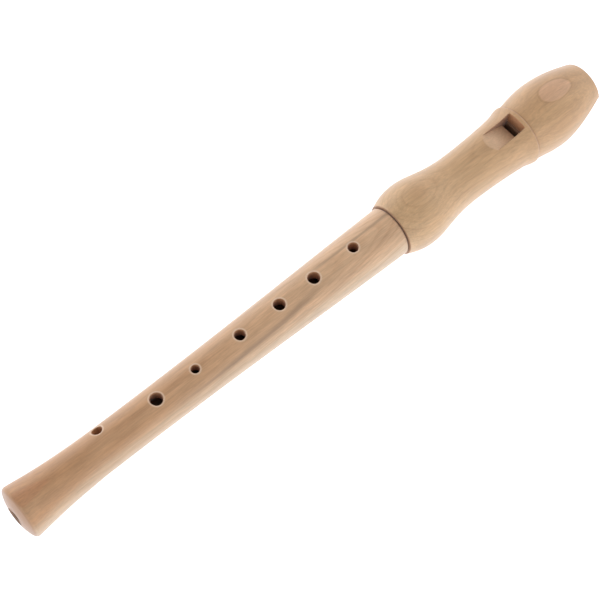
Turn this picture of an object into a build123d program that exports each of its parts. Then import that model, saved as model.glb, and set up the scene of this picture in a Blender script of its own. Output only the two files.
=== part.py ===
"""Soprano recorder in turned pearwood: a head joint with its block, and a one-piece lower joint.

Frame: X runs along the bore from the foot to the beak, +Z is the side of the finger holes and the
window, +Y is the side to which the lowest hole is turned.  The origin is on the bore's axis where
the foot's cylindrical bore begins, just inside its rounded mouth.
"""
import os
from math import cos, radians, sin, sqrt

from build123d import *

os.makedirs("parts", exist_ok=True)

# ---- lower joint, outside ----
lower_length = 203.9          # foot rim to shoulder
foot_dome = 2.3               # the end of the foot stands this far out beyond its rim
foot_dome_fullness = 0.3      # how far the dome has fallen halfway out to the rim
foot_rim_radius = 12.5
foot_rim_round = 2.2
foot_flare_length = 54.0      # rim to the narrowest place
flare_mid_length = 16.0
flare_mid_radius = 10.75
foot_flare_slope = -0.12      # at the rim
waist_radius = 9.53           # the narrowest place of the lower joint
body_shares = (0.42, 0.30)    # how far the waist and the shoulder keep their slopes
shoulder_slope = 0.012
shoulder_step = 3.2           # tenon to the shoulder's edge
shoulder_bevel = 0.5

# ---- tenon and its cork ----
tenon_length = 22.0
tenon_wall = 2.4
tenon_chamfer = 0.6
cork_from_shoulder = 4.5
cork_length = 13.0
cork_groove_depth = 1.0
cork_gap = 0.03               # running gap of the cork, in its groove and in the socket
cork_end_gap = 0.05
tenon_gap = 0.15              # bare tenon to socket
socket_end_gap = 0.6

# ---- bores ----
foot_bore_radius = 3.8
foot_bore_length = 12.0       # the cylindrical last stretch, from the origin
foot_bore_round = 0.6
lower_bore_radius = 6.4       # at the end of the tenon
head_bore_radius = 7.1

# ---- finger holes: diameters and steps, counted from the shoulder ----
hole_steps = [23.1, 22.7, 19.5, 22.0, 24.3, 20.9, 27.0]
hole_diameters = [4.8, 5.6, 5.4, 5.0, 3.9, 5.8, 4.8]
hole_softening = 0.35         # rounding of each hole's outer rim
hole_rim_reach = 1.0          # a hole's outer rim is at least this far outside the bore
last_hole_turn = 35.0         # degrees from +Z toward +Y
thumb_hole_from_shoulder = 16.5
thumb_hole_diameter = 5.5

# ---- head joint, outside ----
seam_gap = 0.3                # between the shoulder and the head's rim, as tuned
head_length = 120.8           # rim to the tip of the beak
head_rim_wall = 3.85          # outside the socket
head_rim_round = 0.35
head_rim_slope = 0.42
bulb_from_rim = 13.3
bulb_rise = 3.02              # rim to crest
bulb_shares = (0.35, 0.45)
neck_shares = (0.28, 0.50)
head_waist_wall = 5.14        # these four stand on the head's bore
lip_foot_wall = 6.5           # where the neck starts to rise to the lip
lip_wall = 7.95
groove_wall = 7.2
groove_from_tip = 42.4        # the line between the lip and the belly
lip_width = 1.1               # crest of the lip to the groove
lip_rise_length = 6.7
lip_bulge = 0.22              # how far the lip's fall stands out from a straight line
barrel_slope = 0.09
barrel_shares = (0.42, 0.25)
lip_slope = 0.12
lip_shares = (0.45, 0.30)
groove_slope = 0.17
belly_shares = (0.30, 0.38)
belly_from_tip = 25.5
belly_wall = 8.25             # outside the block's seat
tip_slope = -0.36
beak_shares = (0.30, 0.36)
tip_wall = 3.35
tip_round = 1.0

# ---- beak ----
beak_cut_length = 37.0
beak_underside = 3.4          # height of the cut above the axis at the tip
beak_cut_mid_length = 17.0
beak_cut_mid_height = 0.3     # height of the cut above the axis at that length

# ---- window, labium and windway ----
window_from_tip = 44.8        # tip to the window's wall, where the windway ends
cut_up = 3.4                  # window wall to the labium's edge
window_width = 10.2
window_softening = 0.4        # rounding of the top edge of the window's wall
labium_thickness = 0.3
ramp_angle = 18.4             # degrees to the axis
labium_underside_length = 5.0
windway_floor_step = 0.7      # the block's flat is this far below the labium's edge
windway_exit_height = 1.15
windway_entry_height = 1.8
windway_entry_width = 12.2

# ---- block ----
block_seat_step = 1.15        # from the head's bore out to the block's seat
block_gap = 0.04              # radial, in its seat
block_end_gap = 0.05
block_chamfer = 0.8

tool_margin = 4.0             # how far cutting tools stand clear of the wood

# ---- places along the axis ----
foot_end_x = -foot_bore_round
rim_x = foot_end_x + foot_dome
shoulder_x = rim_x + lower_length
tenon_end_x = shoulder_x + tenon_length
head_rim_x = shoulder_x + seam_gap
tip_x = head_rim_x + head_length
window_x = tip_x - window_from_tip
labium_x = window_x - cut_up
groove_x = tip_x - groove_from_tip
lip_x = groove_x - lip_width
lip_foot_x = lip_x - lip_rise_length
belly_x = tip_x - belly_from_tip
bulb_x = head_rim_x + bulb_from_rim
head_waist_x = (bulb_x + lip_foot_x) / 2
cork_x = shoulder_x + cork_from_shoulder
socket_end_x = head_rim_x + tenon_length + socket_end_gap

# ---- radii ----
dome_middle_radius = (foot_bore_radius + foot_rim_radius) / 2
tenon_radius = lower_bore_radius + tenon_wall
shoulder_radius = tenon_radius + shoulder_step
socket_radius = tenon_radius + tenon_gap
head_rim_radius = socket_radius + head_rim_wall
bulb_radius = head_rim_radius + bulb_rise
head_waist_radius = head_bore_radius + head_waist_wall
lip_foot_radius = head_bore_radius + lip_foot_wall
lip_radius = head_bore_radius + lip_wall
groove_radius = head_bore_radius + groove_wall
block_seat_radius = head_bore_radius + block_seat_step
belly_radius = block_seat_radius + belly_wall
tip_radius = block_seat_radius + tip_wall
largest_radius = max(belly_radius, bulb_radius, foot_rim_radius)

# ---- heights of the air's way above the axis ----
labium_top = head_bore_radius + labium_thickness
windway_floor = labium_top - windway_floor_step
window_half = window_width / 2


def radial_plane(x, turn=0.0):
    """A plane outside the recorder that looks down on the axis at x, turned from +Z toward +Y."""
    outward = Vector(0, sin(radians(turn)), cos(radians(turn)))
    origin = Vector(x, 0, 0) + outward * largest_radius
    return Plane(origin=origin, x_dir=(1, 0, 0), z_dir=outward)


def hole_places():
    """Each finger hole as its place along X, its diameter and its turn; the thumb hole is last."""
    places = []
    x = shoulder_x
    for step, diameter in zip(hole_steps, hole_diameters):
        x -= step
        turn = last_hole_turn if len(places) == len(hole_steps) - 1 else 0.0
        places.append((x, diameter, turn))
    places.append((shoulder_x - thumb_hole_from_shoulder, thumb_hole_diameter, 180.0))
    return places


def smooth_line(start, end, slopes, shares):
    """A smooth curve with the given end slopes; each share is how far its end keeps its slope."""
    start, end = Vector(start), Vector(end)
    run = end.X - start.X
    first = start + Vector(1, slopes[0]) * shares[0] * run
    second = end - Vector(1, slopes[1]) * shares[1] * run
    return Bezier(start, first, second, end)


def underside_cut():
    """The hollowed underside of the beak, drawn in the plane XZ; the tool is below the curve."""
    back = tip_x - beak_cut_length
    deep = belly_radius + tool_margin
    slope = (beak_underside - beak_cut_mid_height) / beak_cut_mid_length
    with BuildSketch(Plane.XZ) as cut:
        with BuildLine():
            curve = ThreePointArc(
                (tip_x, beak_underside),
                (tip_x - beak_cut_mid_length, beak_cut_mid_height),
                (back, -deep),
            )
            Polyline(
                curve @ 1,
                (back, -2 * deep),
                (tip_x + tool_margin, -2 * deep),
                (tip_x + tool_margin, beak_underside + slope * tool_margin / 2),
                curve @ 0,
            )
        make_face()
    return cut.sketch


# ---- lower joint: foot, body, tenon, bore and finger holes ----
with BuildPart() as lower_joint:
    with BuildSketch(Plane.XY) as lower_outline:
        with BuildLine():
            mouth = RadiusArc(
                (0, foot_bore_radius),
                (foot_end_x, foot_bore_radius + foot_bore_round),
                -foot_bore_round,
            )
            dome = ThreePointArc(
                mouth @ 1,
                (foot_end_x + foot_dome * foot_dome_fullness, dome_middle_radius),
                (rim_x, foot_rim_radius),
            )
            flare = Spline(
                dome @ 1,
                (rim_x + flare_mid_length, flare_mid_radius),
                (rim_x + foot_flare_length, waist_radius),
                tangents=[(1, foot_flare_slope), (1, 0)],
            )
            body = smooth_line(
                flare @ 1,
                (shoulder_x - shoulder_bevel, shoulder_radius),
                (0, shoulder_slope),
                body_shares,
            )
            Polyline(
                body @ 1,
                (shoulder_x, shoulder_radius - shoulder_bevel),
                (shoulder_x, tenon_radius),
                (tenon_end_x - tenon_chamfer, tenon_radius),
                (tenon_end_x, tenon_radius - tenon_chamfer),
                (tenon_end_x, lower_bore_radius),
                (foot_bore_length, foot_bore_radius),
                mouth @ 0,
            )
        make_face()
        foot_corner = lower_outline.vertices().sort_by_distance((rim_x, foot_rim_radius))[0]
        fillet(foot_corner, foot_rim_round)
    revolve(axis=Axis.X)

    with BuildSketch(Plane.XY):
        with Locations((cork_x + cork_length / 2, tenon_radius - cork_groove_depth)):
            Rectangle(cork_length, 2 * cork_groove_depth, align=(Align.CENTER, Align.MIN))
    revolve(axis=Axis.X, mode=Mode.SUBTRACT)

    for x, diameter, turn in hole_places():
        with BuildSketch(radial_plane(x, turn)):
            Circle(diameter / 2)
        extrude(amount=-largest_radius, mode=Mode.SUBTRACT)
        rim_edges = lower_joint.edges(Select.LAST).filter_by(
            lambda edge: sqrt(edge.center().Y ** 2 + edge.center().Z ** 2)
            > lower_bore_radius + hole_rim_reach
        )
        round_rims = rim_edges.filter_by(GeomType.LINE, reverse=True)
        fillet(round_rims, hole_softening)
lower_joint.part.label = "lower_joint"
export_step(lower_joint.part, "parts/lower_joint.step")

# ---- cork: a sleeve in the tenon's groove ----
with BuildPart() as tenon_cork:
    with BuildSketch(Plane.YZ.offset(cork_x + cork_end_gap)):
        Circle(socket_radius - cork_gap)
        Circle(tenon_radius - cork_groove_depth + cork_gap, mode=Mode.SUBTRACT)
    extrude(amount=cork_length - 2 * cork_end_gap)
tenon_cork.part.label = "tenon_cork"
export_step(tenon_cork.part, "parts/tenon_cork.step")

# ---- head joint: bulb, waist, bead, belly, beak, bores, window and windway ----
with BuildPart() as head_joint:
    with BuildSketch(Plane.XY) as head_outline:
        with BuildLine():
            bulb = smooth_line(
                (head_rim_x, head_rim_radius), (bulb_x, bulb_radius), (head_rim_slope, 0), bulb_shares
            )
            neck = smooth_line(bulb @ 1, (head_waist_x, head_waist_radius), (0, 0), neck_shares)
            barrel = smooth_line(
                neck @ 1, (lip_foot_x, lip_foot_radius), (0, barrel_slope), barrel_shares
            )
            rise = smooth_line(
                barrel @ 1, (lip_x, lip_radius), (barrel_slope, lip_slope), lip_shares
            )
            lip_middle = Vector((lip_x + groove_x) / 2, (lip_radius + groove_radius) / 2)
            lip = ThreePointArc(
                rise @ 1, lip_middle + Vector(lip_bulge, lip_bulge), (groove_x, groove_radius)
            )
            belly = smooth_line(lip @ 1, (belly_x, belly_radius), (groove_slope, 0), belly_shares)
            beak = smooth_line(belly @ 1, (tip_x, tip_radius), (0, tip_slope), beak_shares)
            Polyline(
                beak @ 1,
                (tip_x, block_seat_radius),
                (window_x - block_end_gap, block_seat_radius),
                (window_x - block_end_gap, head_bore_radius),
                (socket_end_x, head_bore_radius),
                (socket_end_x, socket_radius),
                (head_rim_x, socket_radius),
                bulb @ 0,
            )
        make_face()
        tip_corner = head_outline.vertices().sort_by_distance((tip_x, tip_radius))[0]
        fillet(tip_corner, tip_round)
        rim_corner = head_outline.vertices().sort_by_distance((head_rim_x, head_rim_radius))[0]
        fillet(rim_corner, head_rim_round)
    revolve(axis=Axis.X)

    # window and ramp: one straight-sided cut down to the bore
    ramp_run = labium_x - head_waist_x
    ramp_top = labium_top + ramp_run * sin(radians(ramp_angle)) / cos(radians(ramp_angle))
    with BuildSketch(Plane.XZ):
        with BuildLine():
            Polyline(
                (labium_x, 0),
                (labium_x, labium_top),
                (labium_x - ramp_run, ramp_top),
                (labium_x - ramp_run, ramp_top + largest_radius),
                (window_x, ramp_top + largest_radius),
                (window_x, 0),
                close=True,
            )
        make_face()
    extrude(amount=window_half, both=True, mode=Mode.SUBTRACT)
    wall_edges = head_joint.edges(Select.LAST).filter_by_position(Axis.X, window_x, window_x)
    fillet(wall_edges.sort_by(Axis.Z)[-1], window_softening)

    # the labium's underside is cut flat, so that its edge is straight
    with BuildSketch(Plane.XY):
        with Locations((labium_x, 0)):
            Rectangle(labium_underside_length, window_width, align=(Align.MAX, Align.CENTER))
    extrude(amount=head_bore_radius, mode=Mode.SUBTRACT)

    # windway: its roof and side walls, wider and higher at the beak
    with BuildSketch(Plane.YZ.offset(window_x)):
        Rectangle(
            window_width, windway_floor + windway_exit_height, align=(Align.CENTER, Align.MIN)
        )
    with BuildSketch(Plane.YZ.offset(tip_x)):
        Rectangle(
            windway_entry_width,
            windway_floor + windway_entry_height,
            align=(Align.CENTER, Align.MIN),
        )
    loft(mode=Mode.SUBTRACT)

    with BuildSketch(Plane.XZ):
        add(underside_cut())
    extrude(amount=2 * largest_radius, both=True, mode=Mode.SUBTRACT)
head_joint.part.label = "head_joint"
export_step(head_joint.part, "parts/head_joint.step")

# ---- block: fills the bore from the window to the tip, and its flat is the windway's floor ----
block_radius = block_seat_radius - block_gap
with BuildPart() as block:
    with BuildSketch(Plane.YZ.offset(window_x)):
        Circle(block_radius)
        with Locations((0, windway_floor)):
            Rectangle(
                2 * block_radius,
                block_radius,
                align=(Align.CENTER, Align.MIN),
                mode=Mode.SUBTRACT,
            )
    extrude(amount=window_from_tip)
    floor_end = block.faces().sort_by(Axis.Z)[-1].edges().sort_by(Axis.X)[0]
    chamfer(floor_end, block_chamfer)
    with BuildSketch(Plane.XZ):
        add(underside_cut())
    extrude(amount=2 * largest_radius, both=True, mode=Mode.SUBTRACT)
block.part.label = "block"
export_step(block.part, "parts/block.step")

for piece in (lower_joint, tenon_cork, head_joint, block):
    box = piece.part.bounding_box()
    print(piece.part.label, len(piece.part.solids()), round(piece.part.volume), box.min, box.max)
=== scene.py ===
"""Soprano recorder in plain pearwood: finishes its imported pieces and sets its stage."""
import math

import bpy
from mathutils import Matrix, Quaternion, Vector


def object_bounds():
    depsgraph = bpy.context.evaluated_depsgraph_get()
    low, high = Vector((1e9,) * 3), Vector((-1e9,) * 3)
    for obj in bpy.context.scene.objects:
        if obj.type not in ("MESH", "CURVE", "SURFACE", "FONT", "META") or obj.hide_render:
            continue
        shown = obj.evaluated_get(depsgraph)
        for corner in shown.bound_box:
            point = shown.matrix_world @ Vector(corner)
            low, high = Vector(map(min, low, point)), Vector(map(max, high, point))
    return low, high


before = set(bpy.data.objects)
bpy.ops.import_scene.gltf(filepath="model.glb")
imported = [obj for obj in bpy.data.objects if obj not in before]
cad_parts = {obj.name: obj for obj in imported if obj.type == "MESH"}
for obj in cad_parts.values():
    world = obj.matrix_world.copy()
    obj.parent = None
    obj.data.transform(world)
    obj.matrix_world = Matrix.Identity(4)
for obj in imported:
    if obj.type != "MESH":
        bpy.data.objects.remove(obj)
cad_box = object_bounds()

bl_info = {
    "name": "Soprano Recorder",
    "version": (1, 0, 0),
    "blender": (4, 5, 0),
    "location": "View3D > Sidebar > Recorder",
    "description": "Gives a turned recorder its pearwood, cedar and cork, and sets its stage",
    "category": "Object",
}

MILLIMETRE = 0.001
MM_PER_METRE = 1000.0
ACROSS_AXIS = (0.0, 1.0, 1.0)     # keeps only what lies across the recorder's axis
EDGE_TURN = (0.995, 0.90)         # cosines between which a turned normal marks an edge
PATTERN_RANGE = (0.2, 0.8)        # values between which a noise pattern mostly lies


# ---------------------------------------------------------------- settings

class TurnedLook:
    """How a turned pearwood joint looks: its colours, its growth rings and its gloss."""

    pale: bpy.props.FloatVectorProperty(
        name="Early wood", description="Colour of the broad pale part of each growth ring",
        subtype="COLOR", size=3, min=0.0, max=1.0, default=(0.62, 0.39, 0.20))
    late: bpy.props.FloatVectorProperty(
        name="Late wood", description="Colour of the thin dark line that closes each growth ring",
        subtype="COLOR", size=3, min=0.0, max=1.0, default=(0.44, 0.24, 0.11))
    warm: bpy.props.FloatVectorProperty(
        name="Warm patches", description="Colour that the slow patches along the joint drift to",
        subtype="COLOR", size=3, min=0.0, max=1.0, default=(0.54, 0.31, 0.15))
    # the low side's paler, greyer colour is partly sapwood, partly painted sheen on the tube's
    # sides
    sap: bpy.props.FloatVectorProperty(
        name="Sapwood", description="Colour of the pale wood on the low side of the billet",
        subtype="COLOR", size=3, min=0.0, max=1.0, default=(0.62, 0.43, 0.26))
    sap_share: bpy.props.FloatProperty(
        name="Sapwood strength", description="How far the low side turns to sapwood, from 0 to 1",
        min=0.0, max=1.0, default=0.0)
    crest: bpy.props.FloatVectorProperty(
        name="Inmost ring", description="Colour inside the ring that the crests only just reach",
        subtype="COLOR", size=3, min=0.0, max=1.0, default=(0.50, 0.285, 0.185))
    crest_share: bpy.props.FloatProperty(
        name="Inmost ring strength", description="How clearly the inmost ring shows, from 0 to 1",
        min=0.0, max=1.0, default=0.5)
    cut: bpy.props.FloatVectorProperty(
        name="Bored wood", description="Colour of the bore, the holes and the window's walls",
        subtype="COLOR", size=3, min=0.0, max=1.0, default=(0.50, 0.225, 0.09))
    warm_start: bpy.props.FloatProperty(
        name="Warm from", description="Where along the axis the warm tint is strongest, in mm",
        default=0.0)
    warm_end: bpy.props.FloatProperty(
        name="Warm to", description="Where along the axis the warm tint has faded out, in mm",
        default=205.0)
    warm_side: bpy.props.FloatProperty(
        name="Warm side", description="How much warmer the side past the holes is, from 0 to 1",
        min=0.0, max=1.0, default=0.0)
    ring_spacing: bpy.props.FloatProperty(
        name="Ring spacing", description="Depth of one growth ring, in mm",
        min=0.2, max=5.0, default=0.95)
    ring_start: bpy.props.FloatProperty(
        name="Ring start", description="Height of one ring's edge above the axis, in mm",
        default=0.0)
    tilt: bpy.props.FloatProperty(
        name="Ring tilt", description="How far the rings fall for each mm along the axis",
        default=0.0)
    tilt_from: bpy.props.FloatProperty(
        name="Tilt from", description="Place along the axis that the rings tilt about, in mm",
        default=0.0)
    bend: bpy.props.FloatProperty(
        name="Ring bend", description="How quickly the rings curve up along the axis, per mm",
        precision=5, default=0.0)
    ring_depth: bpy.props.FloatProperty(
        name="Ring strength", description="How clearly the late wood shows, from 0 to 1",
        min=0.0, max=1.0, default=0.5)
    streak_height: bpy.props.FloatProperty(
        name="Streak height", description="Height of the grey streak in the billet, in mm",
        default=6.5)
    streak: bpy.props.FloatProperty(
        name="Streak strength", description="How clearly the grey streak shows, from 0 to 1",
        min=0.0, max=1.0, default=0.0)
    streak_from: bpy.props.FloatProperty(
        name="Streak from", description="Where along the axis the grey streak begins, in mm",
        default=70.0)
    # the ramp's paler colour is partly painted light that lifts the shade of the hollow before the
    # labium, over the face's own pinker tone
    ramp: bpy.props.FloatVectorProperty(
        name="Ramp", description="Colour of the freshly cut ramp that leads down to the labium",
        subtype="COLOR", size=3, min=0.0, max=1.0, default=(0.70, 0.46, 0.29))
    ramp_share: bpy.props.FloatProperty(
        name="Ramp strength", description="How far the ramp is paler than the outside, from 0 to 1",
        min=0.0, max=1.0, default=0.0)
    ramp_end: bpy.props.FloatProperty(
        name="Ramp ends at", description="Place of the labium's edge along the axis, in mm",
        default=278.5)
    side_streak: bpy.props.FloatProperty(
        name="Side streak", description="Distance of the thin streak from the row of holes, in mm",
        default=2.7)
    side_streak_share: bpy.props.FloatProperty(
        name="Side streak strength", description="How clearly the thin streak shows, from 0 to 1",
        min=0.0, max=1.0, default=0.0)
    side_streak_from: bpy.props.FloatProperty(
        name="Side streak from", description="Where along the axis the thin streak begins, in mm",
        default=158.0)
    seam_at: bpy.props.FloatProperty(
        name="Seam at", description="Place along the axis where the two joints meet, in mm",
        default=205.7)
    # the rims turn pale partly from wear, partly as a painted highlight on their rounding
    rim_share: bpy.props.FloatProperty(
        name="Rim wear", description="How far the holes' rims are rubbed pale, from 0 to 1",
        min=0.0, max=1.0, default=0.0)
    cut_from: bpy.props.FloatProperty(
        name="Bored from", description="First place along the axis with cut side walls, in mm",
        default=0.0)
    cut_to: bpy.props.FloatProperty(
        name="Bored to", description="Last place along the axis with cut side walls, in mm",
        default=0.0)
    # the darker band at this groove is painted shade
    groove_at: bpy.props.FloatProperty(
        name="Groove at", description="Place along the axis of a groove that holds dirt, in mm",
        default=-100.0)
    roughness: bpy.props.FloatProperty(
        name="Roughness", description="Roughness of the oiled outside",
        min=0.0, max=1.0, default=0.46)


def own_defaults(**defaults):
    """The settings of TurnedLook, some of them with defaults of their own."""
    own = dict(TurnedLook.__annotations__)
    for key, default in defaults.items():
        setting = own[key]
        own[key] = setting.function(**{**setting.keywords, "default": default})
    return own


class RecorderLowerLook(bpy.types.PropertyGroup):
    """How the lower joint looks: a warm billet with a paler low side and two grey streaks."""

    __annotations__ = own_defaults(
        pale=(0.67, 0.425, 0.245),
        late=(0.42, 0.21, 0.095),
        warm=(0.51, 0.265, 0.12),
        sap=(0.615, 0.46, 0.305),
        sap_share=0.8,
        crest=(0.47, 0.205, 0.09),
        warm_end=215.0,
        warm_side=0.4,
        ring_start=9.55,
        tilt_from=70.0,
        bend=0.00045,
        ring_depth=0.32,
        streak=0.55,
        side_streak_share=0.5,
        rim_share=0.6,
        cut_from=4.0,
        cut_to=205.0,
    )


class RecorderHeadLook(bpy.types.PropertyGroup):
    """How the head joint looks: a paler billet, with one ring cut to an oval on the belly."""

    __annotations__ = own_defaults(
        sap=(0.62, 0.445, 0.285),
        sap_share=0.35,
        crest=(0.65, 0.38, 0.225),
        crest_share=0.7,
        warm_start=326.0,
        warm_end=180.0,
        ring_start=15.54,
        tilt=0.07,
        tilt_from=306.5,
        ring_depth=0.36,
        ramp_share=0.7,
        cut_from=212.0,
        cut_to=324.0,
        groove_at=284.3,
    )


class RecorderSmallLook(bpy.types.PropertyGroup):
    """How the cedar block and the cork lapping look."""

    cedar: bpy.props.FloatVectorProperty(
        name="Cedar", description="Colour of the block's cedar",
        subtype="COLOR", size=3, min=0.0, max=1.0, default=(0.60, 0.34, 0.19))
    cedar_line: bpy.props.FloatVectorProperty(
        name="Cedar lines", description="Colour of the dark lines in the block's cedar",
        subtype="COLOR", size=3, min=0.0, max=1.0, default=(0.30, 0.12, 0.06))
    cork: bpy.props.FloatVectorProperty(
        name="Cork", description="Colour of the cork's granules",
        subtype="COLOR", size=3, min=0.0, max=1.0, default=(0.48, 0.29, 0.145))
    cork_dark: bpy.props.FloatVectorProperty(
        name="Cork pores", description="Colour of the cork's dark granules and pores",
        subtype="COLOR", size=3, min=0.0, max=1.0, default=(0.13, 0.06, 0.028))
    cork_grain: bpy.props.FloatProperty(
        name="Cork granule", description="Size of one cork granule, in mm",
        min=0.2, max=4.0, default=0.9)


class RecorderStage(bpy.types.PropertyGroup):
    """Where the camera stands, and how bright the studio is."""

    target: bpy.props.FloatVectorProperty(
        name="Looks at", description="Point on the table that the camera looks at",
        subtype="TRANSLATION", unit="LENGTH", size=3, default=(0.152226, -0.000189, 0.0))
    distance: bpy.props.FloatProperty(
        name="Distance", description="Distance from the camera to that point",
        subtype="DISTANCE", unit="LENGTH", min=0.1, default=0.733242)
    azimuth: bpy.props.FloatProperty(
        name="Azimuth", description="Bearing of the camera from that point, from the beak's axis",
        subtype="ANGLE", unit="ROTATION", default=math.radians(-134.155))
    elevation: bpy.props.FloatProperty(
        name="Elevation", description="Height of the camera above the horizon, as an angle",
        subtype="ANGLE", unit="ROTATION", default=math.radians(62.1387))
    roll: bpy.props.FloatProperty(
        name="Roll", description="How far the camera leans about its own line of sight",
        subtype="ANGLE", unit="ROTATION", default=math.radians(3.3455))
    lens: bpy.props.FloatProperty(
        name="Lens", description="Focal length on a 36 mm wide sensor, in mm",
        min=10.0, max=300.0, default=101.64)
    floor: bpy.props.FloatVectorProperty(
        name="Floor", description="Colour of the plain floor",
        subtype="COLOR", size=3, min=0.0, max=1.0, default=(0.93, 0.93, 0.93))
    daylight: bpy.props.FloatVectorProperty(
        name="Daylight", description="Tint of the light from the white walls and the glowing table",
        subtype="COLOR", size=3, min=0.0, max=1.0, default=(0.86, 0.91, 1.0))
    floor_glow: bpy.props.FloatProperty(
        name="Floor glow", description="Light that the white table gives off by itself",
        min=0.0, max=10.0, default=0.86)
    walls: bpy.props.FloatProperty(
        name="Walls", description="Brightness of the white studio walls at table height",
        min=0.0, max=10.0, default=1.55)
    ceiling: bpy.props.FloatProperty(
        name="Ceiling", description="Brightness of the studio's ceiling",
        min=0.0, max=10.0, default=0.41)
    lamplight: bpy.props.FloatVectorProperty(
        name="Lamplight", description="Tint of the three large soft lights",
        subtype="COLOR", size=3, min=0.0, max=1.0, default=(1.0, 0.94, 0.86))
    near_light: bpy.props.FloatProperty(
        name="Near light", description="Power of the large soft light on the near side",
        unit="POWER", min=0.0, max=1000.0, default=1.45)
    far_light: bpy.props.FloatProperty(
        name="Far light", description="Power of the large soft light on the far side",
        unit="POWER", min=0.0, max=1000.0, default=4.9)
    beak_light: bpy.props.FloatProperty(
        name="Beak light", description="Power of the large soft light beyond the beak",
        unit="POWER", min=0.0, max=1000.0, default=2.7)


class RecorderSettings(bpy.types.PropertyGroup):
    """All that a user may change."""

    lower: bpy.props.PointerProperty(type=RecorderLowerLook)
    head: bpy.props.PointerProperty(type=RecorderHeadLook)
    small: bpy.props.PointerProperty(type=RecorderSmallLook)
    stage: bpy.props.PointerProperty(type=RecorderStage)


# ---------------------------------------------------------------- shader bench

class Finish:
    """One node material while it is being made."""

    def __init__(self, name):
        self.material = bpy.data.materials.new(name)
        self.material.use_nodes = True
        self.tree = self.material.node_tree
        self.surface = self.tree.nodes["Principled BSDF"]

    def node(self, kind, feeds=None, **settings):
        """Adds a node, with settings as attributes and feeds as values or links."""
        made = self.tree.nodes.new(kind)
        for key, value in settings.items():
            setattr(made, key, value)
        for key, value in (feeds or {}).items():
            self.feed(made.inputs[key], value)
        return made

    def feed(self, socket, value):
        """Links a socket, or sets it to a plain value."""
        if isinstance(value, bpy.types.NodeSocket):
            self.tree.links.new(value, socket)
        else:
            socket.default_value = value

    def calc(self, operation, first, second=0.0, clamp=False):
        """One step of arithmetic on numbers."""
        made = self.node("ShaderNodeMath", {0: first, 1: second}, operation=operation)
        made.use_clamp = clamp
        return made.outputs[0]

    def times(self, first, *others):
        """The product of two or more numbers."""
        for other in others:
            first = self.calc("MULTIPLY", first, other)
        return first

    def off(self, value, middle):
        """How far value lies from middle, on either side."""
        return self.calc("ABSOLUTE", self.calc("SUBTRACT", value, middle))

    def vector(self, operation, first, second=(0.0, 0.0, 0.0), output=0):
        """One step of arithmetic on vectors."""
        made = self.node("ShaderNodeVectorMath", {0: first, 1: second}, operation=operation)
        return made.outputs[output]

    def soften(self, value, low, high, to_low=0.0, to_high=1.0):
        """A smooth step of value from low to high."""
        feeds = {
            "Value": value,
            "From Min": low,
            "From Max": high,
            "To Min": to_low,
            "To Max": to_high,
        }
        return self.node("ShaderNodeMapRange", feeds, interpolation_type="SMOOTHSTEP").outputs[0]

    def level(self, pattern, low, high):
        """A number that runs from low to high with a pattern, over the pattern's usual range."""
        return self.soften(pattern, *PATTERN_RANGE, low, high)

    def tone(self, colour, pattern, low, high):
        """Darkens or lightens a colour, from low to high with a pattern."""
        share = self.level(pattern, low, high)
        grey = self.node("ShaderNodeCombineColor", {0: share, 1: share, 2: share}).outputs[0]
        return self.mix(1.0, colour, grey, "MULTIPLY")

    def noise(self, place, stretch, detail=2.0, roughness=0.5, distortion=0.0):
        """Noise with stretch cycles per mm along each axis, from 0 to 1."""
        feeds = {
            "Vector": self.vector("MULTIPLY", place, stretch),
            "Scale": 1.0,
            "Detail": detail,
            "Roughness": roughness,
            "Distortion": distortion,
        }
        return self.node("ShaderNodeTexNoise", feeds).outputs[0]

    def mix(self, share, first, second, blend="MIX"):
        """Mixes two colours by share."""
        made = self.node("ShaderNodeMix", data_type="RGBA", blend_type=blend)
        self.feed(made.inputs[0], share)
        self.feed(made.inputs[6], first)
        self.feed(made.inputs[7], second)
        return made.outputs[2]

    def bump(self, height, depth, strength, normal=None):
        """A bump whose full height is depth, in mm."""
        feeds = {"Height": height, "Distance": depth * MILLIMETRE, "Strength": strength}
        if normal is not None:
            feeds["Normal"] = normal
        return self.node("ShaderNodeBump", feeds).outputs[0]

    def places(self):
        """Place in mm, its x, y and z, and the normal, all in the piece's own space."""
        source = self.node("ShaderNodeTexCoord")
        place = self.vector("MULTIPLY", source.outputs["Object"], (MM_PER_METRE,) * 3)
        along, across, height = self.node("ShaderNodeSeparateXYZ", {0: place}).outputs
        return place, along, across, height, source.outputs["Normal"]

    def facing_out(self, place, normal):
        """1 where the surface faces away from the axis, 0 on side walls, -1 in the bore."""
        spoke = self.vector("NORMALIZE", self.vector("MULTIPLY", place, ACROSS_AXIS))
        return self.vector("DOT_PRODUCT", spoke, normal, output=1)

    def eased_edges(self, radius):
        """Normal with its sharp edges eased by radius in mm, and 1 where an edge is being eased."""
        eased = self.node("ShaderNodeBevel", {"Radius": radius * MILLIMETRE}, samples=6).outputs[0]
        plain = self.node("ShaderNodeNewGeometry").outputs["Normal"]
        turned = self.vector("DOT_PRODUCT", eased, plain, output=1)
        return eased, self.soften(turned, *EDGE_TURN)


def opaque(colour):
    """A colour with its alpha."""
    return (*colour, 1.0)


def dress(node_name, material):
    """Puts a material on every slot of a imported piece."""
    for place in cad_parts[node_name].material_slots:
        place.material = material


# ---------------------------------------------------------------- pearwood

RING_WARP = 0.5           # mm that the rings wander by
PITH_BELOW = 70.0         # mm from the axis down to the middle of the tree
BROAD_BAND = 2.6          # rings to one broad tonal band
EDGE_EASE = 0.35          # mm by which the joints' sharp edges look eased

# cycles per mm along the joint, and twice across it
WANDER = (0.018, 0.10, 0.10)    # the rings' slow wander
PATCHES = (0.016, 0.06, 0.06)   # broad patches of tint
SILK = (0.05, 0.35, 0.35)       # silky bands
FIBRE = (0.10, 2.6, 2.6)        # fibres
THREAD = (0.28, 7.5, 7.5)       # fine threads between the fibres
FLECKS = (0.55, 5.0, 5.0)       # short dark pores

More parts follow.
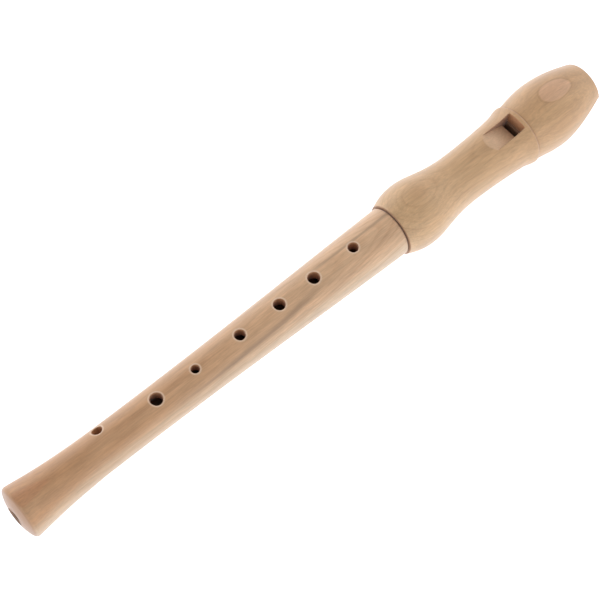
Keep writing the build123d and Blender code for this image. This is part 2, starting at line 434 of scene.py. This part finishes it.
# values of a pattern, or places in mm, between which a tone sets in: from, to
LATE_SETS_IN = (0.35, 0.93)     # shares of a ring
LATE_ENDS = (1.0, 0.955)
BAND_LEVELS = (0.42, 0.75)
PATCH_LEVELS = (0.30, 0.66)
FLECK_LEVELS = (0.66, 0.76)
SAP_AND_SHEEN_HEIGHT = (9.5, 4.0)         # above the axis
PAST_HOLES = (-1.5, 2.5)        # across from the row of holes
INMOST_DEPTH = (-0.02, 0.12)    # inside the inmost ring's edge
INMOST_LINE = (0.14, 0.0)       # off the middle of the line round it
STREAK_WIDTH = (1.1, 0.1)       # off the grey streak's middle
STREAK_FADE_IN = (0.0, 40.0)    # past the streak's beginning
STREAK_FADE_OUT = (95.0, 75.0)
STREAK_SIDE = (2.5, -1.0)       # across from the row of holes
SIDE_WIDTH = (0.9, 0.1)         # off the thin streak's middle
SIDE_HEIGHT = (0.0, 3.0)
SIDE_FADE_IN = (0.0, 12.0)
RIM_REACH = (1.1, 0.35)        # past a hole's edge
RIM_HEIGHT = (5.0, 7.0)        # on the hole's own side of the joint
RAMP_FADE_IN = (-19.0, -8.0)    # past the labium's edge
RAMP_FADE_OUT = (1.0, 0.0)
CUT_FADE_IN = (0.0, 2.0)        # past the first place with cut walls
CUT_FADE_OUT = (0.0, -1.0)      # past the last one
GROOVE_WIDTH = (0.9, 0.15)      # off the groove's middle
SEAM_WIDTH = (0.55, 0.2)        # off the seam's middle

# how the surface lies: 1 straight away from the axis, 0 a side wall, -1 in the bore
IN_BORE = (-0.2, -0.6)
OUT_OF_BORE = (-0.3, -0.1)
SIDE_WALL = (0.72, 0.40)
RIM_OUTSIDE = (0.30, 0.60)
# how far it leans along the axis: 0 level, 1 an end face
RAMP_LEAN = (0.12, 0.27)
END_LEAN = (0.5, 0.95)

# from the darkest to the lightest that a pattern makes the wood
SILK_TONE = (0.90, 1.10)
FIBRE_TONE = (0.86, 1.13)
THREAD_TONE = (0.93, 1.07)
RAMP_TONE = (0.82, 1.12)
BORED_TONE = (0.75, 1.25)

# how far a tone goes at most, or at least, from 0 to 1
LEAST_LATE = 0.25         # late wood of the faintest ring
BAND_SHARE = 0.22
LEAST_DRIFT = 0.55        # warm drift where no patch is
LEAST_STREAK = 0.25       # grey streak past the row of holes
LINE_SHARE = 0.7
FLECK_SHARE = 0.35
END_SHARE = 0.95
BORED_SHARE = 0.85
# eased edges: rubbed pale, with a painted highlight on their rounding
EDGE_WEAR_AND_HIGHLIGHT_SHARE = 0.25
# how far painted shade darkens the groove and the seam between the joints
GROOVE_SHADE = 0.38
SEAM_SHADE = 0.5

SILK_TO_HEIGHT = 2.0      # mm that silk moves the edge of the paler low side by
SILK_TO_SIDE = 1.5        # mm that silk moves the thin streak by
LINE_DEPTH = -0.05        # mm from the inmost ring's edge to the line round it

SPREAD_BELOW = -0.06      # how far the roughness goes below and above its setting
SPREAD_ABOVE = 0.09
FLECK_ROUGHNESS = 0.12    # added in pores
BORED_ROUGHNESS = 0.14    # added on bored wood
SPECULAR = 0.5
SHEEN = 0.45
SHEEN_ROUGHNESS = 0.4
FIBRE_RELIEF = 0.6
THREAD_RELIEF = 0.4
FLECK_RELIEF = 0.5
GRAIN_DEPTH = 0.03        # mm
GRAIN_STRENGTH = 0.55

STREAK_GREY = (0.27, 0.165, 0.095)
# colour of the rims round the finger holes: rubbed pale wood with a painted highlight
WORN_AND_LIT_PALE = (0.82, 0.62, 0.44)
# colour of the eased edges: rubbed pale wood with a painted highlight
EDGE_WEAR_AND_HIGHLIGHT = (0.70, 0.47, 0.29)
DEEP_WOOD = (0.30, 0.16, 0.10)
# colour of the painted shade in the groove and the seam
CREASE_SHADE = (0.30, 0.13, 0.06)

# each finger hole of the lower joint: place along the axis and radius in mm, turn in degrees
FINGER_HOLES = (
    (182.5, 2.4, 0.0),
    (159.8, 2.8, 0.0),
    (140.3, 2.7, 0.0),
    (118.3, 2.5, 0.0),
    (94.0, 1.95, 0.0),
    (73.1, 2.9, 0.0),
    (46.1, 2.4, 35.0),
    (189.1, 2.75, 180.0),
)


def shifted(start, reach):
    """The two ends of reach, counted from start."""
    return start + reach[0], start + reach[1]


def growth_rings(bench, place, along, look):
    """Depth of each point in the tree, in mm: rings round a far pith, tilted and bent."""
    spoke = bench.vector("MULTIPLY", place, ACROSS_AXIS)
    from_pith = bench.vector("ADD", spoke, (0.0, 0.0, PITH_BELOW))
    depth = bench.calc(
        "SUBTRACT", bench.vector("LENGTH", from_pith, output=1), PITH_BELOW + look.ring_start)
    run = bench.calc("SUBTRACT", along, look.tilt_from)
    depth = bench.calc("ADD", depth, bench.calc("MULTIPLY", run, look.tilt))
    curve = bench.calc("MULTIPLY", bench.calc("MULTIPLY", run, run), look.bend)
    depth = bench.calc("SUBTRACT", depth, curve)
    slow = bench.noise(place, WANDER, detail=2.0)
    wander = bench.calc("MULTIPLY", bench.calc("SUBTRACT", slow, 0.5), RING_WARP * 2.0)
    return bench.calc("ADD", depth, wander)


def ring_tones(bench, depth, look):
    """How far each point lies in late wood, and in which broad band of rings."""
    ring = bench.calc("DIVIDE", depth, look.ring_spacing)
    phase = bench.calc("FRACT", ring)
    number = bench.calc("FLOOR", ring)
    late = bench.times(bench.soften(phase, *LATE_SETS_IN), bench.soften(phase, *LATE_ENDS))
    own = bench.node("ShaderNodeTexWhiteNoise", {"W": number}, noise_dimensions="1D").outputs[0]
    late = bench.times(late, bench.soften(own, 0.0, 1.0, to_low=LEAST_LATE))
    wide = bench.node(
        "ShaderNodeCombineXYZ", {0: bench.calc("DIVIDE", ring, BROAD_BAND), 1: 0.0, 2: 0.0})
    return late, bench.noise(wide.outputs[0], (1.0, 1.0, 1.0), detail=1.0)


def grey_streaks(bench, depth, along, across, height, silk, look):
    """1 in the grey streak that follows the rings, or in the thin one past the holes."""
    off_streak = bench.off(depth, look.streak_height - look.ring_start)
    streak = bench.times(
        bench.soften(off_streak, *STREAK_WIDTH),
        look.streak,
        bench.soften(along, *shifted(look.streak_from, STREAK_FADE_IN)),
        bench.soften(along, *shifted(look.streak_from, STREAK_FADE_OUT)),
        bench.soften(across, *STREAK_SIDE, to_low=LEAST_STREAK),
    )
    sway = bench.calc("MULTIPLY", bench.calc("SUBTRACT", silk, 0.5), SILK_TO_SIDE)
    side = bench.times(
        bench.soften(bench.off(bench.calc("ADD", across, sway), look.side_streak), *SIDE_WIDTH),
        look.side_streak_share,
        bench.soften(height, *SIDE_HEIGHT),
        bench.soften(along, *shifted(look.side_streak_from, SIDE_FADE_IN)),
    )
    return bench.calc("MAXIMUM", streak, side)


def finger_hole_rims(bench, along, across, height):
    """1 on a narrow ring round each finger hole, where fingertips rub the wood pale and a painted
    highlight lies on the rounded rim.
    """
    worn = None
    for centre, radius, turn in FINGER_HOLES:
        cosine, sine = math.cos(math.radians(turn)), math.sin(math.radians(turn))
        beside = bench.calc(
            "SUBTRACT",
            bench.calc("MULTIPLY", across, cosine),
            bench.calc("MULTIPLY", height, sine),
        )
        above = bench.calc(
            "ADD",
            bench.calc("MULTIPLY", across, sine),
            bench.calc("MULTIPLY", height, cosine),
        )
        ahead = bench.calc("SUBTRACT", along, centre)
        reach = bench.calc("SQRT", bench.calc(
            "ADD",
            bench.calc("MULTIPLY", ahead, ahead),
            bench.calc("MULTIPLY", beside, beside),
        ))
        ring = bench.times(
            bench.soften(reach, *shifted(radius, RIM_REACH)), bench.soften(above, *RIM_HEIGHT))
        worn = ring if worn is None else bench.calc("MAXIMUM", worn, ring)
    return worn


def pearwood(name, look):
    """Oiled pearwood turned on the lathe: fine straight grain, soft rings, silk and pores."""
    bench = Finish(name)
    place, along, across, height, normal = bench.places()
    depth = growth_rings(bench, place, along, look)
    late, band = ring_tones(bench, depth, look)
    fibre = bench.noise(place, FIBRE, detail=3.0, roughness=0.6)
    thread = bench.noise(place, THREAD, detail=2.0, roughness=0.55)
    silk = bench.noise(place, SILK, detail=3.0, roughness=0.55, distortion=0.4)
    patch = bench.noise(place, PATCHES, detail=2.0)
    fleck = bench.soften(bench.noise(place, FLECKS, detail=1.0), *FLECK_LEVELS)

    # the billet: a paler, greyer low side that is partly sapwood and partly painted sheen on the
    # tube's sides, rings, broad bands and the warm drift along it
    # painted sheen: below the top of the tube the wood turns paler and greyer, partly as sapwood
    low = bench.calc("ADD", height, bench.times(silk, SILK_TO_HEIGHT))
    low_sap_and_sheen = bench.times(bench.soften(low, *SAP_AND_SHEEN_HEIGHT), look.sap_share)
    colour = bench.mix(low_sap_and_sheen, opaque(look.pale), opaque(look.sap))
    colour = bench.mix(bench.times(late, look.ring_depth), colour, opaque(look.late))
    banding = bench.soften(band, *BAND_LEVELS, to_high=BAND_SHARE)
    colour = bench.mix(banding, colour, opaque(look.late))
    patchy = bench.soften(patch, *PATCH_LEVELS, to_low=LEAST_DRIFT)
    far_side = bench.soften(across, *PAST_HOLES, to_high=look.warm_side)
    drift = bench.times(
        bench.calc("ADD", patchy, far_side, clamp=True),
        bench.soften(along, look.warm_end, look.warm_start),
        bench.calc("SUBTRACT", 1.0, low_sap_and_sheen),
    )
    colour = bench.mix(drift, colour, opaque(look.warm))

    # the inmost ring, cut to an oval, with a line round it
    inmost = bench.times(bench.soften(depth, *INMOST_DEPTH), look.crest_share)
    colour = bench.mix(inmost, colour, opaque(look.crest))
    line = bench.soften(bench.off(depth, LINE_DEPTH), *INMOST_LINE)
    line = bench.times(line, look.crest_share, LINE_SHARE)
    colour = bench.mix(line, colour, opaque(look.late))

    # the grain, from silky bands down to pores, and the streaks
    colour = bench.tone(colour, silk, *SILK_TONE)
    colour = bench.tone(colour, fibre, *FIBRE_TONE)
    colour = bench.tone(colour, thread, *THREAD_TONE)
    colour = bench.mix(bench.times(fleck, FLECK_SHARE), colour, opaque(look.late))
    streaks = grey_streaks(bench, depth, along, across, height, silk, look)
    colour = bench.mix(streaks, colour, opaque(STREAK_GREY))

    # what the maker cut: rims rubbed pale with a painted highlight, the ramp lifted by painted
    # light, end grain, bores and walls
    outward = bench.facing_out(place, normal)
    lean = bench.node("ShaderNodeSeparateXYZ", {0: normal}).outputs[0]
    # the finger holes' rims turn paler: rubbed wood, with a painted highlight on the rounded rim
    if look.rim_share > 0.0:
        rims = bench.times(
            finger_hole_rims(bench, along, across, height),
            look.rim_share,
            bench.soften(outward, *RIM_OUTSIDE),
        )
        colour = bench.mix(rims, colour, opaque(WORN_AND_LIT_PALE))
    # painted light: the ramp turns paler to lift its shade, over its own pinker, freshly cut tone
    ramp = bench.times(
        bench.soften(lean, *RAMP_LEAN),
        look.ramp_share,
        bench.soften(along, *shifted(look.ramp_end, RAMP_FADE_OUT)),
        bench.soften(along, *shifted(look.ramp_end, RAMP_FADE_IN)),
    )
    colour = bench.mix(ramp, colour, bench.tone(opaque(look.ramp), fibre, *RAMP_TONE))
    ends = bench.times(
        bench.soften(bench.calc("ABSOLUTE", lean), *END_LEAN, to_high=END_SHARE),
        bench.soften(outward, *OUT_OF_BORE),
    )
    colour = bench.mix(ends, colour, opaque(look.late))
    inside = bench.soften(outward, *IN_BORE)
    walls = bench.times(
        bench.soften(outward, *SIDE_WALL),
        bench.soften(along, *shifted(look.cut_from, CUT_FADE_IN)),
        bench.soften(along, *shifted(look.cut_to, CUT_FADE_OUT)),
    )
    bored = bench.calc("MAXIMUM", inside, walls)
    deep = bench.mix(inside, opaque(look.cut), opaque(DEEP_WOOD))
    deep = bench.tone(deep, fibre, *BORED_TONE)
    colour = bench.mix(bench.times(bored, BORED_SHARE), colour, deep)

    # handling and light: edges rubbed pale with a painted highlight, painted shade in the groove
    # and the seam
    eased, edge = bench.eased_edges(EDGE_EASE)
    groove = bench.soften(bench.off(along, look.groove_at), *GROOVE_WIDTH)
    seam = bench.soften(bench.off(along, look.seam_at), *SEAM_WIDTH)
    edge_mark_reach = bench.calc("SUBTRACT", 1.0, bench.calc("MAXIMUM", inside, groove))
    # eased edges turn paler: partly rubbed wood, partly a painted highlight where the rounding
    # catches light
    colour = bench.mix(bench.times(edge, edge_mark_reach, EDGE_WEAR_AND_HIGHLIGHT_SHARE), colour, opaque(EDGE_WEAR_AND_HIGHLIGHT))
    # painted shade: the wood turns darker along the groove and the seam between the joints
    shadow = bench.calc("MAXIMUM", bench.times(groove, GROOVE_SHADE), bench.times(seam, SEAM_SHADE))
    colour = bench.mix(shadow, colour, opaque(CREASE_SHADE))
    bench.feed(bench.surface.inputs["Base Color"], colour)

    rough = bench.level(fibre, look.roughness + SPREAD_BELOW, look.roughness + SPREAD_ABOVE)
    rough = bench.calc("ADD", rough, bench.times(fleck, FLECK_ROUGHNESS))
    rough = bench.calc("ADD", rough, bench.times(bored, BORED_ROUGHNESS), clamp=True)
    bench.feed(bench.surface.inputs["Roughness"], rough)
    bench.surface.inputs["Specular IOR Level"].default_value = SPECULAR
    bench.surface.inputs["Sheen Weight"].default_value = SHEEN
    bench.surface.inputs["Sheen Roughness"].default_value = SHEEN_ROUGHNESS

    relief = bench.calc("ADD", bench.times(fibre, FIBRE_RELIEF), bench.times(thread, THREAD_RELIEF))
    relief = bench.calc("SUBTRACT", relief, bench.times(fleck, FLECK_RELIEF))
    grain = bench.bump(relief, GRAIN_DEPTH, GRAIN_STRENGTH, eased)
    bench.feed(bench.surface.inputs["Normal"], grain)
    return bench.material


# ---------------------------------------------------------------- cedar and cork

CEDAR_WANDER = (0.03, 0.12, 0.12)     # cycles per mm, as for the pearwood
CEDAR_FIBRE = (0.12, 4.0, 4.0)
CEDAR_PATCHES = (0.05, 0.2, 0.2)
CEDAR_RING = 0.8                      # mm from one dark line to the next
CEDAR_LINE_SETS_IN = (0.25, 0.9)      # shares of a ring
CEDAR_LINE_ENDS = (1.0, 0.94)
CEDAR_EASE = 0.2                      # mm
CEDAR_WARP = 1.4                      # mm that the lines wander by
CEDAR_FIBRE_TONE = (0.78, 1.18)
CEDAR_PATCH_TONE = (0.88, 1.12)
CEDAR_LINE_SHARE = 0.75
CEDAR_EDGE_SHARE = 0.3
CEDAR_LINE_RELIEF = 0.4
CEDAR_ROUGHNESS = (0.52, 0.72)
CEDAR_SPECULAR = 0.35
CEDAR_DEPTH = 0.04                    # mm
CEDAR_STRENGTH = 0.6

CORK_STIR = (1.1, 1.1, 1.1)           # cycles per mm
CORK_FINE = (5.0, 5.0, 5.0)
CORK_PORES = (1.6, 1.6, 1.6)
CORK_SHADES = (0.45, 1.0)
CORK_PORE_LEVELS = (0.63, 0.70)
CORK_CRACK = (0.09, 0.0)              # share of a granule, from its edge
CORK_EASE = 0.25                      # mm
CORK_TONE = (0.78, 1.2)
CORK_DARK_SHARE = 0.55
CORK_CRACK_SHARE = 0.6
CORK_PORE_SHARE = 0.9
CORK_FINE_RELIEF = 0.35
CORK_ROUGHNESS = (0.62, 0.86)
CORK_SPECULAR = 0.3
CORK_DEPTH = 0.12                     # mm
CORK_STRENGTH = 0.8


def cedar(name, look):
    """Red cedar, split straight: close dark lines along the block and soft pale wood between."""
    bench = Finish(name)
    place, _, across, _, _ = bench.places()
    wander = bench.noise(place, CEDAR_WANDER)
    depth = bench.calc("ADD", across, bench.times(wander, CEDAR_WARP))
    phase = bench.calc("FRACT", bench.calc("DIVIDE", depth, CEDAR_RING))
    line = bench.times(
        bench.soften(phase, *CEDAR_LINE_SETS_IN), bench.soften(phase, *CEDAR_LINE_ENDS))
    fibre = bench.noise(place, CEDAR_FIBRE, detail=3.0, roughness=0.6)
    patch = bench.noise(place, CEDAR_PATCHES)
    lines = bench.times(line, CEDAR_LINE_SHARE)
    colour = bench.mix(lines, opaque(look.cedar), opaque(look.cedar_line))
    colour = bench.tone(colour, fibre, *CEDAR_FIBRE_TONE)
    colour = bench.tone(colour, patch, *CEDAR_PATCH_TONE)
    eased, edge = bench.eased_edges(CEDAR_EASE)
    colour = bench.mix(bench.times(edge, CEDAR_EDGE_SHARE), colour, opaque(look.cedar))
    bench.feed(bench.surface.inputs["Base Color"], colour)
    bench.feed(bench.surface.inputs["Roughness"], bench.level(fibre, *CEDAR_ROUGHNESS))
    bench.surface.inputs["Specular IOR Level"].default_value = CEDAR_SPECULAR
    relief = bench.calc("SUBTRACT", fibre, bench.times(line, CEDAR_LINE_RELIEF))
    grain = bench.bump(relief, CEDAR_DEPTH, CEDAR_STRENGTH, eased)
    bench.feed(bench.surface.inputs["Normal"], grain)
    return bench.material


def cork(name, look):
    """Sheet cork: pressed granules of several browns, dark pores between them, waxed dull."""
    bench = Finish(name)
    place = bench.places()[0]
    stirred = bench.noise(place, CORK_STIR, detail=2.0)
    nudge = bench.node("ShaderNodeCombineXYZ", {0: stirred, 1: stirred, 2: stirred}).outputs[0]
    near = bench.vector("ADD", place, nudge)
    cells = {"Vector": near, "Scale": 1.0 / look.cork_grain, "Randomness": 1.0}
    granule = bench.node("ShaderNodeTexVoronoi", cells, feature="F1").outputs["Color"]
    shade = bench.node("ShaderNodeSeparateColor", {0: granule}).outputs[0]
    gap = bench.node("ShaderNodeTexVoronoi", cells, feature="DISTANCE_TO_EDGE").outputs["Distance"]
    fine = bench.noise(place, CORK_FINE, detail=3.0, roughness=0.65)
    pore = bench.soften(bench.noise(place, CORK_PORES, detail=2.0), *CORK_PORE_LEVELS)
    crack = bench.soften(gap, *CORK_CRACK)
    brown = bench.soften(shade, *CORK_SHADES, to_high=CORK_DARK_SHARE)
    colour = bench.mix(brown, opaque(look.cork), opaque(look.cork_dark))
    colour = bench.tone(colour, fine, *CORK_TONE)
    dark = bench.calc(
        "MAXIMUM", bench.times(crack, CORK_CRACK_SHARE), bench.times(pore, CORK_PORE_SHARE))
    colour = bench.mix(dark, colour, opaque(look.cork_dark))
    bench.feed(bench.surface.inputs["Base Color"], colour)
    bench.feed(bench.surface.inputs["Roughness"], bench.level(fine, *CORK_ROUGHNESS))
    bench.surface.inputs["Specular IOR Level"].default_value = CORK_SPECULAR
    eased = bench.eased_edges(CORK_EASE)[0]
    relief = bench.calc("SUBTRACT", bench.times(fine, CORK_FINE_RELIEF), dark)
    grain = bench.bump(relief, CORK_DEPTH, CORK_STRENGTH, eased)
    bench.feed(bench.surface.inputs["Normal"], grain)
    return bench.material


# ---------------------------------------------------------------- operators

class RECORDER_OT_lower_joint(bpy.types.Operator):
    """Finish the lower joint in pearwood"""

    bl_idname = "recorder.lower_joint"
    bl_label = "Lower joint"

    def execute(self, context):
        dress("lower_joint", pearwood("pearwood_lower", context.scene.recorder.lower))
        return {"FINISHED"}


class RECORDER_OT_head_joint(bpy.types.Operator):
    """Finish the head joint in pearwood"""

    bl_idname = "recorder.head_joint"
    bl_label = "Head joint"

    def execute(self, context):
        dress("head_joint", pearwood("pearwood_head", context.scene.recorder.head))
        return {"FINISHED"}


class RECORDER_OT_block(bpy.types.Operator):
    """Finish the block in cedar"""

    bl_idname = "recorder.block"
    bl_label = "Block"

    def execute(self, context):
        dress("block", cedar("cedar", context.scene.recorder.small))
        return {"FINISHED"}


class RECORDER_OT_tenon_cork(bpy.types.Operator):
    """Finish the tenon's lapping in cork"""

    bl_idname = "recorder.tenon_cork"
    bl_label = "Tenon cork"

    def execute(self, context):
        dress("tenon_cork", cork("cork", context.scene.recorder.small))
        return {"FINISHED"}


# ---------------------------------------------------------------- stage

FLOOR_SIZE = 6.0                      # metres, as are the places and widths below
FLOOR_ROUGHNESS = 0.9
SENSOR_WIDTH = 36.0                   # mm
CEILING_HEIGHT = 0.75                 # sine of the height where the walls have faded out
NEAR_LIGHT_PLACE = (0.30, -1.0, 0.40)
FAR_LIGHT_PLACE = (0.12, 1.0, 0.45)
BEAK_LIGHT_PLACE = (1.05, -0.1, 0.7)
SIDE_LIGHT_WIDTH = 0.9
BEAK_LIGHT_WIDTH = 0.8


def add_floor(look):
    """A plain floor under the recorder."""
    half = FLOOR_SIZE / 2.0
    low = cad_box[0][2]
    mesh = bpy.data.meshes.new("floor")
    corners = [(-half, -half, low), (half, -half, low), (half, half, low), (-half, half, low)]
    mesh.from_pydata(corners, [], [(0, 1, 2, 3)])
    floor = bpy.data.objects.new("floor", mesh)
    bpy.context.scene.collection.objects.link(floor)
    paint = Finish("floor_paint")
    paint.surface.inputs["Base Color"].default_value = opaque(look.floor)
    paint.surface.inputs["Roughness"].default_value = FLOOR_ROUGHNESS
    paint.surface.inputs["Emission Color"].default_value = opaque(look.daylight)
    paint.surface.inputs["Emission Strength"].default_value = look.floor_glow
    mesh.materials.append(paint.material)


def add_soft_light(name, power, tint, width, place, aim):
    """A large soft square light at place, turned to aim."""
    data = bpy.data.lights.new(name, "AREA")
    data.energy = power
    data.color = tint
    data.size = width
    lamp = bpy.data.objects.new(name, data)
    lamp.location = place
    lamp.rotation_mode = "QUATERNION"
    lamp.rotation_quaternion = (Vector(aim) - Vector(place)).to_track_quat("-Z", "Y")
    lamp.visible_camera = False
    bpy.context.scene.collection.objects.link(lamp)


def add_camera(look):
    """The camera, set by its bearing, height, distance and lean."""
    data = bpy.data.cameras.new("camera")
    data.sensor_width = SENSOR_WIDTH
    data.lens = look.lens
    level = math.cos(look.elevation)
    back = Vector((
        level * math.cos(look.azimuth),
        level * math.sin(look.azimuth),
        math.sin(look.elevation),
    ))
    right = Vector((0.0, 0.0, 1.0)).cross(back).normalized()
    turn = Quaternion(back, look.roll)
    right = turn @ right
    up = back.cross(right)
    camera = bpy.data.objects.new("camera", data)
    stand = Matrix.Translation(Vector(look.target) + back * look.distance)
    camera.matrix_world = stand @ Matrix((right, up, back)).transposed().to_4x4()
    bpy.context.scene.collection.objects.link(camera)
    bpy.context.scene.camera = camera


def add_surroundings(look):
    """A white studio all round: bright walls that fade to a dimmer ceiling."""
    world = bpy.data.worlds.new("studio")
    world.use_nodes = True
    tree = world.node_tree
    sky = tree.nodes.new("ShaderNodeTexCoord")
    height = tree.nodes.new("ShaderNodeSeparateXYZ")
    fade = tree.nodes.new("ShaderNodeMapRange")
    fade.interpolation_type = "SMOOTHSTEP"
    fade.inputs["From Min"].default_value = 0.0
    fade.inputs["From Max"].default_value = CEILING_HEIGHT
    fade.inputs["To Min"].default_value = look.walls
    fade.inputs["To Max"].default_value = look.ceiling
    tree.links.new(sky.outputs["Generated"], height.inputs[0])
    tree.links.new(height.outputs[2], fade.inputs["Value"])
    paint = tree.nodes["Background"]
    paint.inputs["Color"].default_value = opaque(look.daylight)
    tree.links.new(fade.outputs[0], paint.inputs["Strength"])
    bpy.context.scene.world = world


class RECORDER_OT_stage(bpy.types.Operator):
    """Lay the floor, hang the lights and place the camera"""

    bl_idname = "recorder.stage"
    bl_label = "Stage"

    def execute(self, context):
        look = context.scene.recorder.stage
        add_floor(look)
        add_surroundings(look)
        middle = tuple((low + high) / 2.0 for low, high in zip(*cad_box))
        lamps = (
            ("near_light", look.near_light, SIDE_LIGHT_WIDTH, NEAR_LIGHT_PLACE),
            ("far_light", look.far_light, SIDE_LIGHT_WIDTH, FAR_LIGHT_PLACE),
            ("beak_light", look.beak_light, BEAK_LIGHT_WIDTH, BEAK_LIGHT_PLACE),
        )
        for name, power, width, place in lamps:
            add_soft_light(name, power, look.lamplight, width, place, middle)
        add_camera(look)
        context.scene.view_settings.view_transform = "Standard"
        return {"FINISHED"}


class RECORDER_PT_workshop(bpy.types.Panel):
    """The recorder's pieces, with what can be changed about each"""

    bl_idname = "RECORDER_PT_workshop"
    bl_label = "Recorder"
    bl_space_type = "VIEW_3D"
    bl_region_type = "UI"
    bl_category = "Recorder"

    def draw(self, context):
        settings = context.scene.recorder
        sections = (
            (settings.lower, ("recorder.lower_joint",)),
            (settings.head, ("recorder.head_joint",)),
            (settings.small, ("recorder.block", "recorder.tenon_cork")),
            (settings.stage, ("recorder.stage",)),
        )
        for look, steps in sections:
            box = self.layout.box()
            for key in look.bl_rna.properties.keys():
                if key not in ("rna_type", "name"):
                    box.prop(look, key)
            for step in steps:
                box.operator(step)


CLASSES = (
    RecorderLowerLook,
    RecorderHeadLook,
    RecorderSmallLook,
    RecorderStage,
    RecorderSettings,
    RECORDER_OT_lower_joint,
    RECORDER_OT_head_joint,
    RECORDER_OT_block,
    RECORDER_OT_tenon_cork,
    RECORDER_OT_stage,
    RECORDER_PT_workshop,
)


def register():
    for kind in CLASSES:
        bpy.utils.register_class(kind)
    bpy.types.Scene.recorder = bpy.props.PointerProperty(type=RecorderSettings)


def unregister():
    del bpy.types.Scene.recorder
    for kind in reversed(CLASSES):
        bpy.utils.unregister_class(kind)


def main():
    """Makes everything in order."""
    register()
    bpy.ops.recorder.lower_joint()
    bpy.ops.recorder.head_joint()
    bpy.ops.recorder.block()
    bpy.ops.recorder.tenon_cork()
    bpy.ops.recorder.stage()


if __name__ == "__main__":
    main()
